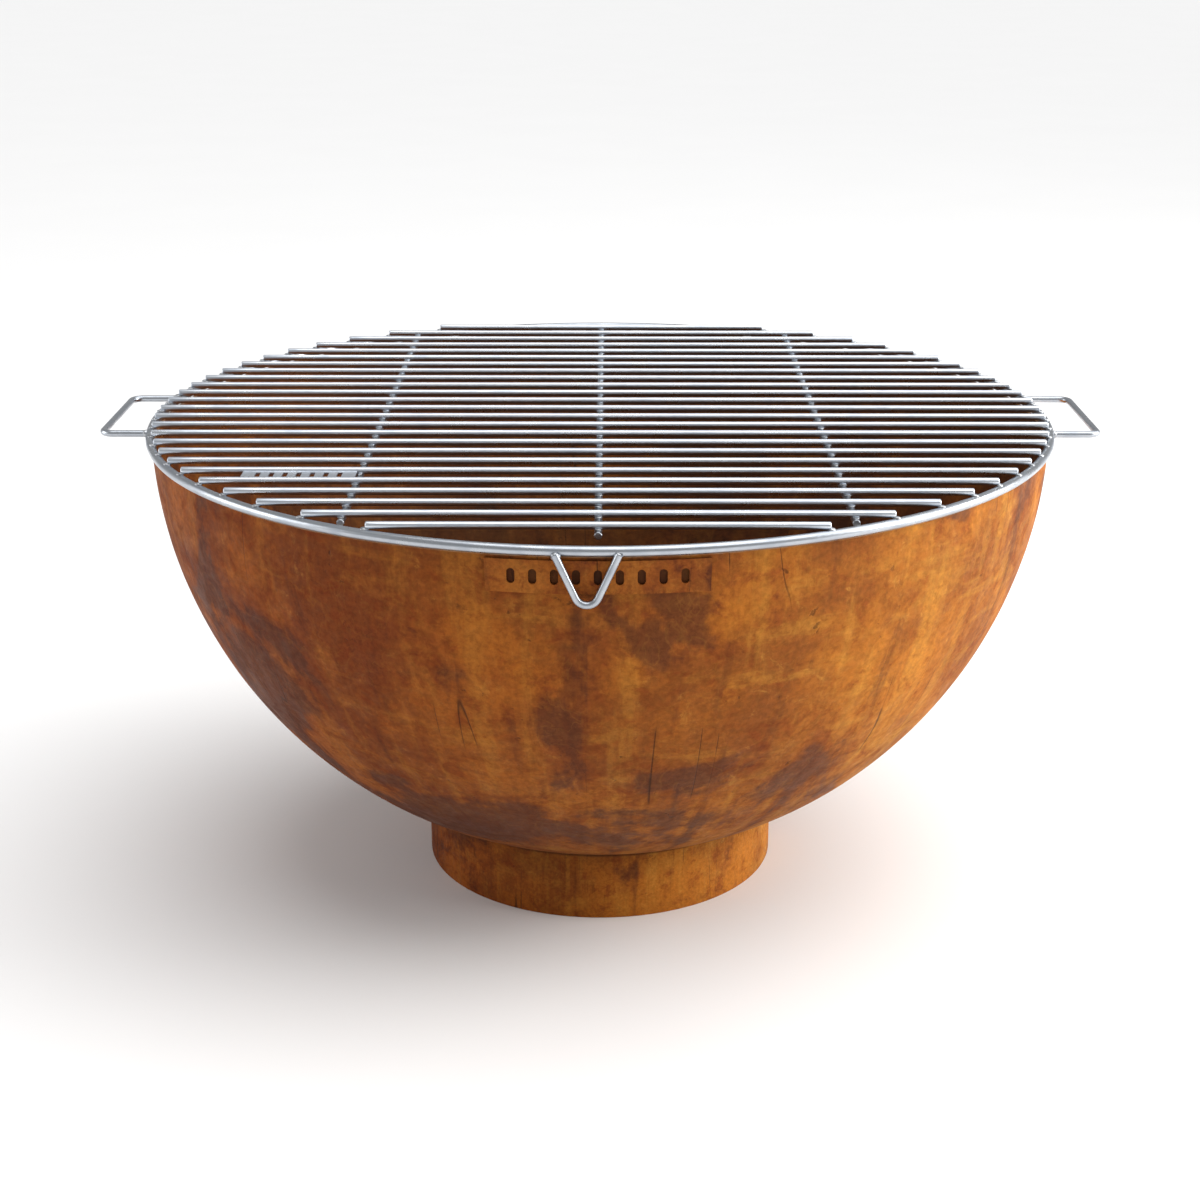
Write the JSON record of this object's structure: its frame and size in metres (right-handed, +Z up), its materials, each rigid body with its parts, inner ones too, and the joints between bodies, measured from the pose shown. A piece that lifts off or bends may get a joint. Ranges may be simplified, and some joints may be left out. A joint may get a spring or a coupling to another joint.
{
  "type": "fire pit with grate",
  "caption": "Round weathered-steel fire bowl on an open ring foot, with a lift-off round wire cooking grate that has two side handles and V-shaped locators.",
  "frame": {"origin": "centre of the foot's underside, on the floor", "axes": "+Z up, +X along the grate's rods towards the right handle, -Y towards the side with the curved plate"},
  "size_m": [0.884, 0.8172, 0.4343],
  "materials": {
    "weathered_steel": "matte",
    "plated_wire": "satin",
    "plated_sheet": "satin"
  },
  "bodies": {
    "bowl": {"bowl_shell": "weathered_steel", "foot_ring": "weathered_steel", "name_plate": "weathered_steel"},
    "grate": {"grate_ring": "plated_wire", "rod_01": "plated_wire", "rod_02": "plated_wire", "rod_03": "plated_wire", "rod_04": "plated_wire", "rod_05": "plated_wire", "rod_06": "plated_wire", "rod_07": "plated_wire", "rod_08": "plated_wire", "rod_09": "plated_wire", "rod_10": "plated_wire", "rod_11": "plated_wire", "rod_12": "plated_wire", "rod_13": "plated_wire", "rod_14": "plated_wire", "rod_15": "plated_wire", "rod_16": "plated_wire", "rod_17": "plated_wire", "rod_18": "plated_wire", "rod_19": "plated_wire", "rod_20": "plated_wire", "rod_21": "plated_wire", "rod_22": "plated_wire", "rod_23": "plated_wire", "rod_24": "plated_wire", "rod_25": "plated_wire", "cross_rod_left": "plated_wire", "cross_rod_centre": "plated_wire", "cross_rod_right": "plated_wire", "handle_left": "plated_wire", "handle_right": "plated_wire", "locator_front": "plated_wire", "locator_back": "plated_wire", "grate_tag": "plated_sheet"}
  },
  "joints": [
    {"name": "grate_lift", "type": "slide", "parent": "bowl", "child": "grate", "axis": [0, 0, 1], "range_m": [0, 0.25]}
  ]
}
